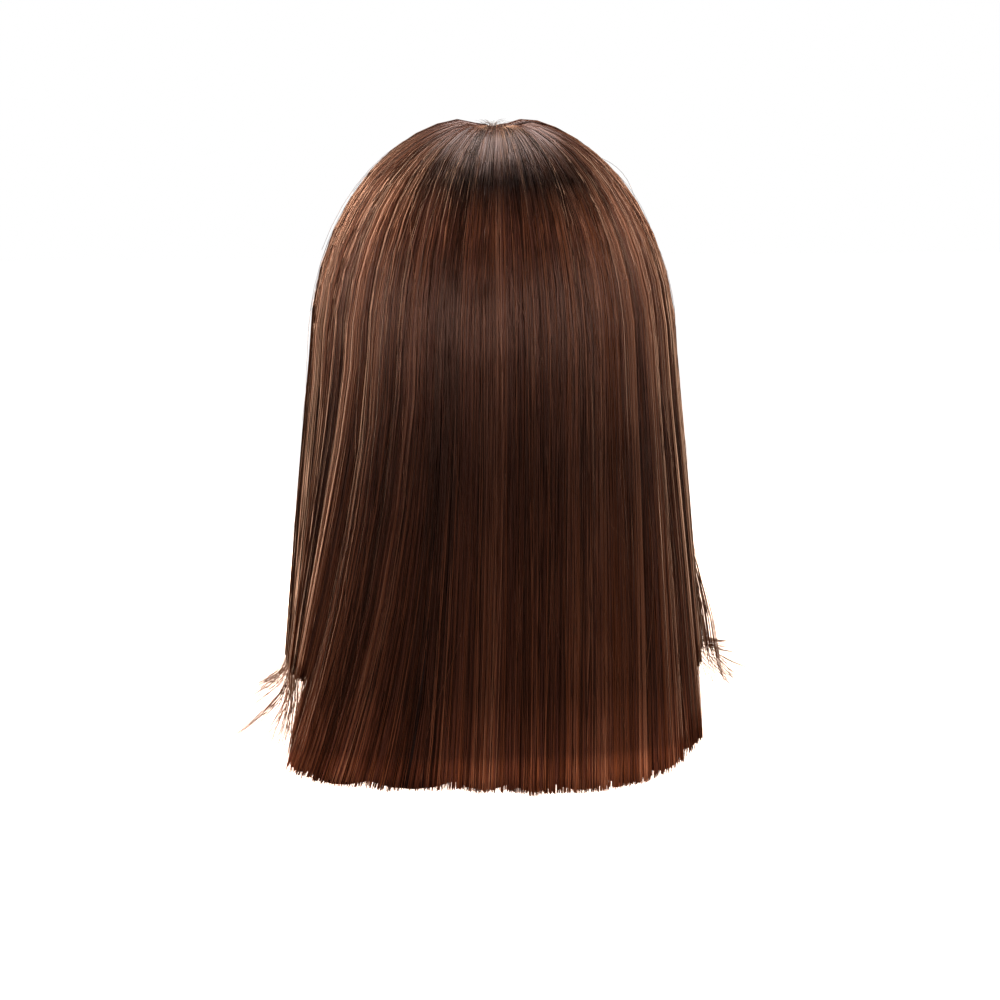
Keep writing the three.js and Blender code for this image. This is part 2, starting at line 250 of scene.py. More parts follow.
# How strands stray, how far they go over an edge, and how they are rooted
STRAY = 0.5  # degrees
STRAY_WAVES = (0.5, 1.4)  # half waves over a strand's first half
OVERHANG = 1.6  # degrees that strands reach over their neighbours' edges
FACE_GAP = 0.15  # degrees left free at the two edges of the face
RELIEF_SHARE = 0.9  # of the locks' relief, that strands follow
ROOT_DEPTH = 4 * MM
LEAST_ROOT_DEPTH = 0.35  # of it, at the parting
ROOT_DEPTH_GAIN = 0.08  # a start this much farther along gains the whole depth
ROOT_LENGTH = 0.07  # how far along the depth dies away
LEAST_COVER = 0.3 * MM  # between a strand and the cap

# The body of hair under the strands
MASS_INSET = 1.4 * MM
MASS_ROOM_SHARE = 0.4  # of the room down to the cap, that the inset may take up
MASS_TIP_LIFT = 3 * MM
MASS_LIFT_POWER = 6
WELD = 0.01 * MM
FLAT_ENOUGH = 40  # degrees between two triangles that are made one face


def smooth(x, low, high):
    """Zero below low, one above high and a smooth step between."""
    t = np.clip((x - low) / (high - low), 0, 1)
    return t * t * (3 - 2 * t)


def cap_narrowing(z):
    below = np.clip((-CAP_HEIGHT - z) / NAPE_DROP, 0, 1)
    return 1 - NAPE_TAPER * below**2


def towards_cap(points):
    """The inward direction at each point, and how far from it the cap with its margin lies."""
    middle = np.zeros_like(points)
    middle[..., 2] = np.minimum(points[..., 2], -CAP_HEIGHT)
    offset = points - middle
    narrowing = cap_narrowing(points[..., 2])
    sizes = np.stack(
        [
            (CAP_HALF_WIDTH + CAP_MARGIN) * narrowing,
            (CAP_HALF_LENGTH + CAP_MARGIN) * narrowing,
            np.full_like(narrowing, CAP_HEIGHT + CAP_MARGIN),
        ],
        axis=-1,
    )
    outside = np.linalg.norm(offset / sizes, axis=-1)
    length = np.linalg.norm(offset, axis=-1)
    return -offset / length[..., None], length * (1 - 1 / outside)


def root_points(angle):
    """Where a strand line leaves the parting, or the crown behind it."""
    facing = np.radians(np.minimum(np.abs(angle), 90))
    ahead = np.clip((np.abs(angle) - 90) / (FRONT_EDGE - 90), 0, 1)
    x = np.sign(angle) * PARTING_HALF_WIDTH * np.sin(facing)
    y = CROWN_BEHIND - (CROWN_BEHIND + HAIRLINE_AHEAD) * ahead + PARTING_HALF_WIDTH * np.cos(facing)
    return x, y


def crest_height(y):
    return (CAP_HEIGHT + HAIR_TOP) * np.sqrt(1 - (y / (CAP_HALF_LENGTH + HAIR_TOP)) ** 2) - CAP_HEIGHT


def share_fallen(z):
    return np.clip((HAIR_TOP - z - DOME_FALL) / (HAIR_FALL - DOME_FALL), 0, 1)


def outline_points(angle, z):
    """The rounded outline of the hair at a height, in the direction of an angle."""
    down = share_fallen(z)
    across = EAR_HALF_WIDTH + HEM_FLARE * down
    behind = BACK_REACH - BACK_TUCK * down
    lengthwise = np.where(np.abs(angle) < 90, behind, FRONT_REACH)
    power = DOME_SQUARENESS + (CURTAIN_SQUARENESS - DOME_SQUARENESS) * down
    sine = np.sin(np.radians(angle))
    cosine = np.cos(np.radians(angle))
    radius = (np.abs(sine / across) ** power + np.abs(cosine / lengthwise) ** power) ** (-1 / power)
    splayed = SPLAY_REACH * np.interp(angle, SPLAY["angle"], SPLAY["out"]) * down**SPLAY_GROWTH
    return radius * sine + splayed, radius * cosine


def strand_points(angle, along, tip, sweep):
    """Points on the hair's surface: along is 0 at the parting, 1 off the head and 2 at the tip."""
    root_x, root_y = root_points(angle)
    crest = crest_height(root_y)
    turn = np.minimum(along, 1) * np.pi / 2
    roundness = 2 / DOME_SQUARENESS
    spread = np.sin(turn) ** roundness
    dome_z = crest - DOME_FALL * (1 - np.maximum(0, np.cos(turn)) ** roundness)
    leaves = crest - DOME_FALL
    z = np.where(along > 1, leaves + (tip - leaves) * (along - 1), dome_z)
    swept = angle + SWEEP_DEGREES * sweep * share_fallen(z) ** SWEEP_GROWTH
    outline_x, outline_y = outline_points(swept, z)
    x = root_x + (outline_x - root_x) * spread
    y = root_y + (outline_y - root_y) * spread
    from_root = np.hypot(x - root_x, y - root_y) / PARTING_DIP_WIDTH
    dip = PARTING_DIP * np.exp(-from_root * from_root)
    return np.stack([x, y, z - dip], axis=-1)


def lock_relief(locks, angle, along):
    """How far a lock stands out at an angle, or its furrow goes in."""
    edges = locks["angle"]
    place = np.clip(np.searchsorted(edges, angle, side="right") - 1, 0, len(edges) - 2)
    share = (angle - edges[place]) / (edges[place + 1] - edges[place])
    bulge = np.sin(np.pi * np.clip(share, 0, 1))
    groove = np.interp(angle, edges, locks["groove"])
    growth = smooth(along, RELIEF_STARTS, RELIEF_IS_FULL)
    return growth * (LOCK_RISE * bulge - GROOVE_DEPTH * groove * (1 - bulge) ** 2)


def hem_height(locks, angle):
    return HAIR_TOP - HAIR_FALL * np.interp(angle, locks["angle"], locks["hem"])


def unit(vectors):
    return vectors / np.maximum(np.linalg.norm(vectors, axis=-1, keepdims=True), 1e-9)


def slot_of(node):
    return next(row["material_slot"] for row in frame["record"]["subparts"] if row["node"] == node)


def new_object(name, mesh, material, slot):
    made = bpy.data.objects.new(name, mesh)
    bpy.context.scene.collection.objects.link(made)
    mesh.materials.append(material)
    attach(made, BODY)
    return made


def strand_mesh(name, centres, radii, tones):
    """One mesh of many closed, tapered, three-sided strands that follow the lines given."""
    count, rings = centres.shape[:2]
    along = unit(np.gradient(centres, axis=1))
    outward = -towards_cap(centres)[0]
    side = unit(np.cross(along, outward))
    upward = np.cross(side, along)
    turns = (np.arange(SIDES) / SIDES + tones[:, None]) * 2 * np.pi
    ring = (
        np.cos(turns)[:, None, :, None] * side[:, :, None, :]
        + np.sin(turns)[:, None, :, None] * upward[:, :, None, :]
    )
    points = centres[:, :, None, :] + radii[:, :, None, None] * ring
    number = np.arange(count * rings * SIDES).reshape(count, rings, SIDES)
    here, beyond = number[:, :-1], number[:, 1:]
    walls = np.stack([here, np.roll(here, -1, 2), np.roll(beyond, -1, 2), beyond], axis=-1).reshape(-1, 4)
    ends = np.concatenate([number[:, 0, ::-1], number[:, -1]])
    corners = np.concatenate([walls.ravel(), ends.ravel()])
    totals = np.concatenate([np.full(len(walls), 4), np.full(len(ends), SIDES)])
    mesh = bpy.data.meshes.new(name)
    mesh.vertices.add(number.size)
    mesh.vertices.foreach_set("co", points.astype(np.float32).ravel())
    mesh.loops.add(len(corners))
    mesh.loops.foreach_set("vertex_index", corners.astype(np.int32))
    mesh.polygons.add(len(totals))
    mesh.polygons.foreach_set("loop_start", np.concatenate([[0], np.cumsum(totals)[:-1]]).astype(np.int32))
    mesh.polygons.foreach_set("use_smooth", totals > SIDES)
    lengthwise = np.broadcast_to(np.linspace(0, 1, rings)[None, :, None], number.shape)
    across = np.broadcast_to(tones[:, None, None], number.shape)
    uv = np.stack([across.ravel()[corners], lengthwise.ravel()[corners]], axis=-1)
    mesh.uv_layers.new(name="strand")
    mesh.uv_layers["strand"].data.foreach_set("uv", uv.astype(np.float32).ravel())
    mesh.update(calc_edges=True)
    mesh.validate()
    return mesh


def ring_places(first, start, rings, angle):
    """How far along each ring lies: more of them on the dome, and neighbours' rings nearly level."""
    share = np.linspace(0, 1, rings)[None, :]
    shift = 0.5 * np.sin(angle / RING_WAVE)[:, None]
    share = share + shift * np.sin(np.pi * share) / (rings - 1)
    hang = np.clip((share - DOME_SHARE) / (1 - DOME_SHARE), 0, 1)
    done = (np.minimum(share / DOME_SHARE, 1) ** ROOT_BUNCHING + 1 - (1 - hang) ** TIP_BUNCHING) / 2
    level = (2 - first) * done
    late = (start - first)[:, None]
    return first + (level**3 + late**3 * (1 - done)) ** (1 / 3)


def streak_tones(angle, rng):
    """A tone for each strand, shared in part with its neighbours in streaks of two widths."""
    tones = rng.uniform(0, 1, len(angle))
    for width in STREAK_WIDTHS:
        streak = ((angle - angle.min()) / width).astype(int)
        tones = tones + rng.uniform(0, 1, streak.max() + 1)[streak]
    return smooth(tones / (len(STREAK_WIDTHS) + 1), *TONE_RANGE)


def wisps_of(angle, first, last, rng):
    """What the strands of a wisp share: its middle, how tightly it holds, its lift, tip and lean."""
    wisps = int((last - first) / WISP_WIDTH) + 1
    wisp = np.clip(((angle - first) / WISP_WIDTH).astype(int), 0, wisps - 1)
    middle = first + (np.arange(wisps) + rng.uniform(*WISP_MIDDLES, wisps)) * WISP_WIDTH
    hold = rng.uniform(0, WISP_HOLD, wisps)
    lift = rng.normal(0, WISP_LIFT, wisps)
    tip = rng.normal(0, WISP_TIP, wisps)
    lean = rng.normal(0, WISP_LEAN, wisps)
    return [shared[wisp] for shared in (middle, hold, lift, tip, lean)]


def strand_flow(angle, along, middle, hold, lean, edges, rng):
    """Each ring's angle: drawn to the wisp's middle, a little astray, and kept near the piece's edges."""
    count = len(angle)
    gather = smooth(along, 0.4, 2.0) * hold[:, None]
    flow = angle[:, None] + (middle - angle)[:, None] * gather
    stray = rng.normal(0, STRAY, count)[:, None]
    stray = stray * np.sin(np.pi * rng.uniform(*STRAY_WAVES, count)[:, None] * along)
    flow = flow + stray * smooth(along, 0.3, 1) + lean[:, None] * smooth(along, 0.8, 2)
    reach = OVERHANG * smooth(along, 0.2, 0.8)
    flow = flow + rng.normal(0, OVERHANG / 2, count)[:, None] * reach
    flow = np.clip(flow, edges[0] - reach, edges[-1] + reach)
    return np.clip(flow, FACE_GAP - FRONT_EDGE, FRONT_EDGE - FACE_GAP)


def root_depth(start, along, distance):
    """How much deeper a strand lies near its start, so that its end is hidden."""
    share = np.minimum(1, LEAST_ROOT_DEPTH + start / ROOT_DEPTH_GAIN)[:, None]
    nearness = np.exp(-(((along - start[:, None]) / ROOT_LENGTH) ** 2))
    return nearness * np.minimum(ROOT_DEPTH, distance) * share


def share_on_cap(angle, z):
    """How fully the under layer lies on the cap at a height: 1 above its rim, and less below it."""
    rim_z = -CAP_HEIGHT * np.interp(np.abs(angle), RIM["angle"], RIM["drop"])[:, None]
    return smooth(z, rim_z - FILL_FADE, rim_z)


def strand_lines(piece, rng):
    """The middle lines of a piece's strands, how far along each ring lies, and the strands' tones."""
    locks = LOCKS[piece["node"]]
    edges = locks["angle"]
    count = piece["count"]
    angle = rng.uniform(edges[0], edges[-1], count)
    middle, hold, lift, wisp_tip, lean = wisps_of(angle, edges[0], edges[-1], rng)
    depth = rng.uniform(piece["shallow"], piece["deep"], count) * MM
    late = np.maximum(0, rng.uniform(-1, 1, count))
    start = piece["first_start"] + (piece["last_start"] - piece["first_start"]) * late
    fray = rng.exponential(FRAY, count) - FRAY * FRAY_BELOW_HEM
    tip = hem_height(locks, angle) + fray + wisp_tip
    sweep = np.interp(angle, edges, locks["sweep"])
    along = ring_places(piece["first_start"], start, piece["rings"], angle)
    flow = strand_flow(angle, along, middle, hold, lean, edges, rng)
    points = strand_points(flow, along, tip[:, None], sweep[:, None])
    inward, distance = towards_cap(points)
    lifted = lift[:, None] * smooth(along, 0.5, 1.5)
    sunk = depth[:, None] - lock_relief(locks, flow, along) * RELIEF_SHARE - lifted
    if piece["node"].startswith("under"):
        sunk = sunk + (distance - INNER_FACE) * share_on_cap(angle, points[..., 2])
    sunk = sunk + root_depth(start, along, distance)
    sunk = np.minimum(sunk, np.maximum(distance - LEAST_COVER, 0))
    # Painted shade: a strand at the bottom of a furrow is darkened by FURROW_SHADE
    in_furrow = np.clip(-lock_relief(locks, angle, 2.0) / GROOVE_DEPTH, 0, 1)
    tones = streak_tones(angle, rng) * (1 - FURROW_SHADE * in_furrow)
    return points + inward * sunk[..., None], along, tones


def make_strands(piece, number):
    rng = np.random.default_rng(SEED + number)
    centres, along, tones = strand_lines(piece, rng)
    thickness = STRAND_RADIUS * rng.uniform(*THICKNESSES, piece["count"])
    taper = 1 - (1 - TIP_TAPER) * smooth(along, TAPER_STARTS, 2.0)
    return strand_mesh(piece["name"], centres, thickness[:, None] * taper, tones)


# The spread strands leave the side hem, where their last stretch still lies in the hair
SPREAD_RINGS = 13
SPREAD_HELD_RINGS = 5
SPREAD_HELD_FROM = 1.45
SPREAD_RADIUS = 0.14 * MM
SPREAD_LEAST_LENGTH = 0.7  # of the longest
SPREAD_SCATTER = 1.8  # degrees
SPREAD_DEPTHS = (0.5, 4)  # millimetres below the surface, where they leave it
SPREAD_WAVE = 1.2 * MM
SPREAD_TUFTS = 11
TUFT_LEAST_LENGTH = 0.75
TUFT_SCATTER = 0.5  # degrees
TUFT_GATHER = 0.7

# The two fans: how many strands, how far in millimetres they lift off the hair, and how far they are
# stretched beyond their locks
FAN_COLUMNS = ("node", "rows", "from_node", "count", "lift", "stretch")
FANS = (
    ("shoulder_left", LEFT_SPREAD, "hair_left", 170, 4, 1.4),
    ("shoulder_right", RIGHT_SPREAD, "hair_right", 150, 13, 1.0),
)


def make_spread(fan, number):
    """Sparse tufts in the form of a fan of spread locks, which lift off the hair above the hem."""
    rng = np.random.default_rng(SEED + number)
    spread = columns(SPREAD_COLUMNS, fan["rows"])
    locks = LOCKS[fan["from_node"]]
    count = fan["count"]
    tuft = rng.integers(0, SPREAD_TUFTS, count)
    tuft_angle = np.linspace(spread["angle"][0], spread["angle"][-1], SPREAD_TUFTS)
    tuft_angle = (tuft_angle + rng.normal(0, TUFT_SCATTER, SPREAD_TUFTS))[tuft]
    angle = tuft_angle + rng.normal(0, SPREAD_SCATTER, count)
    length = rng.uniform(TUFT_LEAST_LENGTH, 1, SPREAD_TUFTS)[tuft] * fan["stretch"]
    length = length * rng.uniform(SPREAD_LEAST_LENGTH, 1, count)
    reach = np.interp(tuft_angle, spread["angle"], spread["reach"]) * length
    fall = np.interp(tuft_angle, spread["angle"], spread["fall"]) * length
    tip = hem_height(locks, angle)
    sweep = np.interp(angle, locks["angle"], locks["sweep"])
    free_rings = SPREAD_RINGS - SPREAD_HELD_RINGS
    held = np.linspace(SPREAD_HELD_FROM, 2, SPREAD_HELD_RINGS, endpoint=False)
    along = np.concatenate([held, np.full(free_rings, 2.0)])[None, :]
    free = np.concatenate([np.zeros(SPREAD_HELD_RINGS), np.linspace(0, 1, free_rings)])[None, :]
    gathered = angle[:, None] + (tuft_angle - angle)[:, None] * TUFT_GATHER * free
    centres = strand_points(gathered, along, tip[:, None], sweep[:, None])
    inward, _ = towards_cap(centres)
    inward[..., 2] = 0
    depth = rng.uniform(*SPREAD_DEPTHS, count)[:, None] * MM
    waviness = rng.normal(0, SPREAD_WAVE, count)[:, None] * np.sin(np.pi * 1.5 * free)
    lifted = fan["lift"] * MM * rng.uniform(0, 1, count)[:, None] * smooth(along, SPREAD_HELD_FROM, 2.0)
    out = lifted + SPREAD_REACH * reach[:, None] * free**SPREAD_BEND
    centres = centres + inward * (depth - out)[..., None]
    centres[..., 1] += waviness
    centres[..., 2] -= SPREAD_FALL * fall[:, None] * free**SPREAD_DROOP
    radii = SPREAD_RADIUS * rng.uniform(0.7, 1.2, count)[:, None] * (1 - FINE_TAPER * smooth(free, 0.5, 1))
    return strand_mesh(fan["node"] + "_strands", centres, radii, rng.uniform(0.1, 0.85, count))


# Loose hairs that lift off the surface here and there
FLYAWAYS = 170
FLYAWAY_RINGS = 9
FLYAWAY_LIFT = 3.2 * MM
FLYAWAY_RADIUS = 0.11 * MM
FLYAWAY_REACH = 135  # degrees from straight behind
FLYAWAY_STARTS = (0.15, 1.6)
FLYAWAY_LENGTHS = (0.2, 0.7)
FLYAWAY_LAST = 1.98  # how far along they end at most
FLYAWAY_DRIFT = 2.2  # degrees
FREE_ENDED = 0.4  # the share of them that have a free end
BACK_EDGE = 50  # degrees, where the lower hem of the back ends
BACK_HEM = 0.97  # of the fall
SIDE_HEM = 0.82


def make_flyaways(number):
    rng = np.random.default_rng(SEED + number)
    count = FLYAWAYS
    angle = rng.uniform(-FLYAWAY_REACH, FLYAWAY_REACH, count)
    hem = np.where(np.abs(angle) < BACK_EDGE, BACK_HEM, SIDE_HEM)
    tip = (HAIR_TOP - HAIR_FALL * hem)[:, None]
    start = rng.uniform(*FLYAWAY_STARTS, count)
    end = np.minimum(start + rng.uniform(*FLYAWAY_LENGTHS, count), FLYAWAY_LAST)
    share = np.linspace(0, 1, FLYAWAY_RINGS)[None, :]
    along = start[:, None] + (end - start)[:, None] * share
    drift = rng.normal(0, FLYAWAY_DRIFT, count)[:, None] * share**1.5
    centres = strand_points(angle[:, None] + drift, along, tip, np.zeros((count, 1)))
    inward, _ = towards_cap(centres)
    lift = np.minimum(rng.exponential(FLYAWAY_LIFT * 0.5, count), FLYAWAY_LIFT)[:, None]
    is_free = rng.uniform(0, 1, count)[:, None] < FREE_ENDED
    height = (lift + LOCK_RISE) * np.where(is_free, share, np.sin(np.pi * share))
    centres = centres - inward * height[..., None]
    radii = np.full(along.shape, FLYAWAY_RADIUS)
    return strand_mesh("flyaway_strands", centres, radii, rng.uniform(0.4, 1, count))


# Sparse strands along the two edges of the back: degrees, and the hem as a share of the fall
EDGE_COLUMNS = ("first", "last", "hem", "last_hem")
EDGE_ROWS = (
    (45, 53, 0.985, 0.945),
    (-59, -65, 0.95, 0.9),
)
EDGE_STRANDS = 80
EDGE_RINGS = 10
EDGE_RADIUS = 0.16 * MM
EDGE_DEPTHS = (-0.5, 3.5)  # millimetres
EDGE_ROOT_DEPTH = 5 * MM


def make_edge_strands(number):
    rng = np.random.default_rng(SEED + number)
    edges = columns(EDGE_COLUMNS, EDGE_ROWS)
    edge = np.arange(EDGE_STRANDS * 2) % 2
    share = rng.uniform(0, 1, len(edge))
    angle = edges["first"][edge] + (edges["last"] - edges["first"])[edge] * share
    hem = edges["hem"][edge] + (edges["last_hem"] - edges["hem"])[edge] * share
    tip = HAIR_TOP - HAIR_FALL * (hem + rng.normal(0, 0.012, len(edge)))
    start = rng.uniform(1.1, 1.4, len(edge))[:, None]
    along = start + (2 - start) * np.linspace(0, 1, EDGE_RINGS)[None, :]
    drift = rng.normal(0, 0.8, len(edge))[:, None] * (along - start)
    sweep = np.interp(angle, LOCKS["hair_back"]["angle"], LOCKS["hair_back"]["sweep"])
    centres = strand_points(angle[:, None] + drift, along, tip[:, None], sweep[:, None])
    inward, _ = towards_cap(centres)
    depth = rng.uniform(*EDGE_DEPTHS, len(edge))[:, None] * MM
    depth = depth + EDGE_ROOT_DEPTH * (1 - smooth(along, start, start + 0.3))
    radii = EDGE_RADIUS * (1 - FINE_TAPER * smooth(along, 1.8, 2.0))
    centres = centres + inward * depth[..., None]
    return strand_mesh("edge_strands", centres, radii, rng.uniform(0.45, 1, len(edge)))


# Single hairs that lie across the others: degrees and place along at both ends, and how far they lift
CROSSING_COLUMNS = ("angle", "along", "end_angle", "end_along", "lift")
CROSSING_HAIRS = (
    (-7, 1.22, -31, 1.42, 2.2),
    (4, 0.72, -10, 1.12, 1.8),
    (24, 0.9, 12, 1.55, 1.9),
    (36, 1.1, 47, 1.75, 2.1),
    (-22, 1.5, -30, 1.9, 1.8),
    (40, 0.5, 26, 0.95, 1.9),
    (-44, 0.9, -52, 1.6, 2.2),
    (16, 1.6, 27, 1.93, 2.0),
)
CROSSING_RINGS = 16


def make_crossing_hairs(number):
    rng = np.random.default_rng(SEED + number)
    hairs = columns(CROSSING_COLUMNS, CROSSING_HAIRS)
    share = np.linspace(0, 1, CROSSING_RINGS)[None, :]
    curve = share + 0.12 * np.sin(np.pi * share)
    angle = hairs["angle"][:, None] + (hairs["end_angle"] - hairs["angle"])[:, None] * curve**1.3
    along = hairs["along"][:, None] + (hairs["end_along"] - hairs["along"])[:, None] * share
    tip = HAIR_TOP - HAIR_FALL
    centres = strand_points(angle, along, tip, np.zeros((len(share), 1)))
    inward, _ = towards_cap(centres)
    centres = centres - inward * (hairs["lift"] * MM)[:, None, None]
    radii = np.full(along.shape, FLYAWAY_RADIUS)
    return strand_mesh("crossing_strands", centres, radii, rng.uniform(0.7, 1, len(CROSSING_HAIRS)))


# Short pale hairs that stand up from the parting
BABY_HAIRS = 150
BABY_RINGS = 6
BABY_LENGTH = 9 * MM
BABY_RADIUS = 0.1 * MM


def make_baby_hairs(number):
    rng = np.random.default_rng(SEED + number)
    count = BABY_HAIRS
    y = CROWN_BEHIND + 4 * MM - (CROWN_BEHIND + HAIRLINE_AHEAD) * rng.uniform(0, 1, count) ** 1.6
    x = rng.uniform(-1, 1, count) * PARTING_HALF_WIDTH
    foot = np.stack([x, y, crest_height(y) - PARTING_DIP - MM], axis=-1)
    side = np.sign(x) * rng.uniform(0.1, 1.2, count)
    lean = np.stack([side, rng.normal(0, 0.5, count), np.zeros(count)], axis=-1)
    share = np.linspace(0, 1, BABY_RINGS)[None, :, None]
    length = BABY_LENGTH * rng.uniform(0.35, 1, count)[:, None, None]
    upward = np.array([0, 0, 1.0])
    centres = foot[:, None, :] + length * (share * upward * 0.8 + share**1.8 * lean[:, None, :] * 0.6)
    centres[..., 2] -= (length * share**2.5)[..., 0] * 0.35
    radii = BABY_RADIUS * (1 - FINE_TAPER * share[..., 0]) * np.ones((count, 1))
    return strand_mesh("baby_strands", centres, radii, rng.uniform(0, 1, count))


class Value:
    """A socket that Python's operators add Math nodes to."""

    def __init__(self, tree, socket):
        self.tree = tree
        self.socket = socket

    def math(self, operation, *others):
        return self.tree.node("ShaderNodeMath", {"operation": operation}, (self, *others))

    def __sub__(self, other):
        return self.math("SUBTRACT", other)

    def __rsub__(self, other):
        return self.tree.node("ShaderNodeMath", {"operation": "SUBTRACT"}, (other, self))

    def __truediv__(self, other):
        return self.math("DIVIDE", other)

    def __rtruediv__(self, other):
        return self.tree.node("ShaderNodeMath", {"operation": "DIVIDE"}, (other, self))

    def __abs__(self):
        return self.math("ABSOLUTE")


class Shader:
    """A material's node tree, with one method that adds any node."""

    def __init__(self, name, **constants):
        self.material = bpy.data.materials.new(name)
        self.material.use_nodes = True
        self.nodes = self.material.node_tree.nodes
        self.links = self.material.node_tree.links
        self.surface = self.nodes["Principled BSDF"]
        for socket, value in constants.items():
            self.surface.inputs[socket.replace("_", " ")].default_value = value

    def node(self, kind, settings=None, inputs=(), output=0):
        """Adds a node. Inputs are a tuple in socket order or a dict by socket name."""
        made = self.nodes.new(kind)
        for name, value in (settings or {}).items():
            if name == "stops":
                ramp = made.color_ramp
                while len(ramp.elements) < len(value):
                    ramp.elements.new(0.5)
                for element, (place, color) in zip(ramp.elements, value):
                    element.position = place
                    element.color = (*color, 1)
            else:
                setattr(made, name, value)
        pairs = inputs.items() if isinstance(inputs, dict) else enumerate(inputs)
        for key, value in pairs:
            if isinstance(value, Value):
                self.links.new(value.socket, made.inputs[key])
            else:
                made.inputs[key].default_value = value
        return Value(self, made.outputs[output])

    def feed(self, socket, value):
        self.links.new(value.socket, self.surface.inputs[socket])

    def mix(self, factor, first, second, blend="MIX"):
        settings = {"data_type": "RGBA", "blend_type": blend}
        return self.node("ShaderNodeMix", settings, {0: factor, 6: first, 7: second}, output=2)

    def object_place(self):
        return self.node("ShaderNodeTexCoord", output=3)


def grey(tone):
    return (tone, tone, tone)


# How light the hair is painted by height, from the hem to the crown: painted light at the hem, where light
# passes through the sparse tips, painted shade deepest below the nape, and a painted sheen on the upper
# back
PAINTED_LIGHT_BY_HEIGHT = (
    (0.0, (1.0, 0.9, 0.8)),
    (0.025, (0.9, 0.8, 0.7)),
    (0.06, (0.31, 0.27, 0.24)),
    (0.15, (0.155, 0.135, 0.115)),
    (0.5, (0.085, 0.075, 0.068)),
    (0.66, grey(0.155)),
    (0.84, grey(0.25)),
)
# Above that, painted shade: a dark band lies across the middle and not at the sides
SHADED_MIDDLE_CROWN = (
    (0.91, grey(0.018)),
    (1.0, grey(0.16)),
)
SIDE_CROWN = (
    (0.91, grey(0.22)),
    (1.0, grey(0.22)),
)
DARK_HALF_WIDTH = 34 * MM
DARK_FADE = 34 * MM
# Painted shade: the hair round the face is darkened, so that the warm lights ahead don't turn it orange
FACE_DEPTH = -60 * MM
FACE_SHADE = 0.5


def painted_light_tone(shader):
    """Painted light and shade on the hair at a place, by its height and by how far aside and how far ahead
    it lies.
    """
    parts = shader.node("ShaderNodeSeparateXYZ", inputs=(shader.object_place(),))
    across, depth, height = (Value(shader, parts.socket.node.outputs[axis]) for axis in "XYZ")
    share = (height - (HAIR_TOP - HAIR_FALL)) / HAIR_FALL
    middle = shader.node("ShaderNodeValToRGB", {"stops": PAINTED_LIGHT_BY_HEIGHT + SHADED_MIDDLE_CROWN}, (share,))
    sides = shader.node("ShaderNodeValToRGB", {"stops": PAINTED_LIGHT_BY_HEIGHT + SIDE_CROWN}, (share,))
    fade = {"Value": abs(across), "From Min": DARK_HALF_WIDTH, "From Max": DARK_HALF_WIDTH + DARK_FADE}
    aside = shader.node("ShaderNodeMapRange", inputs=fade)
    ahead = {"Value": depth, "From Min": FACE_DEPTH, "From Max": 0.0, "To Min": FACE_SHADE, "To Max": 1.0}
    strength = shader.node("ShaderNodeMapRange", inputs=ahead)
    tone = shader.mix(aside, middle, sides)
    return shader.node("ShaderNodeVectorMath", {"operation": "SCALE"}, {"Vector": tone, "Scale": strength})


def strand_material(name, tones, roughness, tint):
    """Hair seen strand by strand: each has its own tone, under painted light and shade by height and place.
    """
    shader = Shader(
        name,
        Roughness=roughness,
        IOR=1.55,
        Specular_IOR_Level=0.45,
        Specular_Tint=(*tint, 1),
    )
    uv = shader.node("ShaderNodeUVMap", {"uv_map": "strand"})
    parts = shader.node("ShaderNodeSeparateXYZ", inputs=(uv,))
    tone = Value(shader, parts.socket.node.outputs["X"])
    own = shader.node("ShaderNodeValToRGB", {"stops": tones}, (tone,))
    shader.feed("Base Color", shader.mix(1.0, own, painted_light_tone(shader), "MULTIPLY"))
    return shader.material


def mass_material(name, dark, light, roughness):
    """The body of hair under the strands: fine streaks that run down the locks."""
    shader = Shader(name, Roughness=roughness, Specular_IOR_Level=0.12)
    stretched = shader.node("ShaderNodeMapping", inputs={0: shader.object_place(), 3: (1, 1, 0.02)})
    streaks = shader.node("ShaderNodeTexNoise", inputs={"Vector": stretched, "Scale": 900.0, "Detail": 3.0})
    shader.feed("Base Color", shader.mix(streaks, (*dark, 1), (*light, 1)))
    bump = shader.node("ShaderNodeBump", inputs={"Strength": 0.8, "Distance": 0.0006, "Height": streaks})
    shader.feed("Normal", bump)
    return shader.material


def net_material(name, dark, light):
    """A fine matt net of crossing threads."""
    shader = Shader(name, Roughness=0.9, Specular_IOR_Level=0.2)
    inputs = {"Vector": shader.object_place(), "Scale": 900.0}
    threads = shader.node("ShaderNodeTexVoronoi", {"feature": "DISTANCE_TO_EDGE"}, inputs)
    net = threads.math("LESS_THAN", 0.12)
    shader.feed("Base Color", shader.mix(net, (*dark, 1), (*light, 1)))
    bump = shader.node("ShaderNodeBump", inputs={"Strength": 0.6, "Distance": 0.0004, "Height": net})
    shader.feed("Normal", bump)
    return shader.material


# The tones of the strands, from the darkest to the lightest: mauve ones lie among the orange
HAIR_TONES = (
    (0.0, (0.07, 0.02, 0.009)),
    (0.3, (0.2, 0.06, 0.026)),
    (0.5, (0.36, 0.13, 0.085)),
    (0.65, (0.46, 0.14, 0.048)),
    (0.85, (0.75, 0.29, 0.15)),
    (1.0, (1.0, 0.45, 0.25)),
)
FINE_TONES = (
    (0.0, (0.9, 0.6, 0.45)),
    (1.0, (1.0, 0.85, 0.75)),
)
HAIR = strand_material("dark brown hair", HAIR_TONES, roughness=0.32, tint=(1.0, 0.62, 0.45))
FINE_HAIR = strand_material("fine pale hair", FINE_TONES, roughness=0.45, tint=(1.0, 0.9, 0.85))
HAIR_MASS = mass_material(
    "hair body",
    dark=(0.006, 0.0022, 0.0012),
    light=(0.022, 0.0075, 0.0038),
    roughness=0.8,
)
CAP_NET = net_material("cap net", dark=(0.02, 0.012, 0.009), light=(0.05, 0.03, 0.022))
PART_LACE = net_material("parting lace", dark=(0.04, 0.024, 0.018), light=(0.1, 0.064, 0.047))


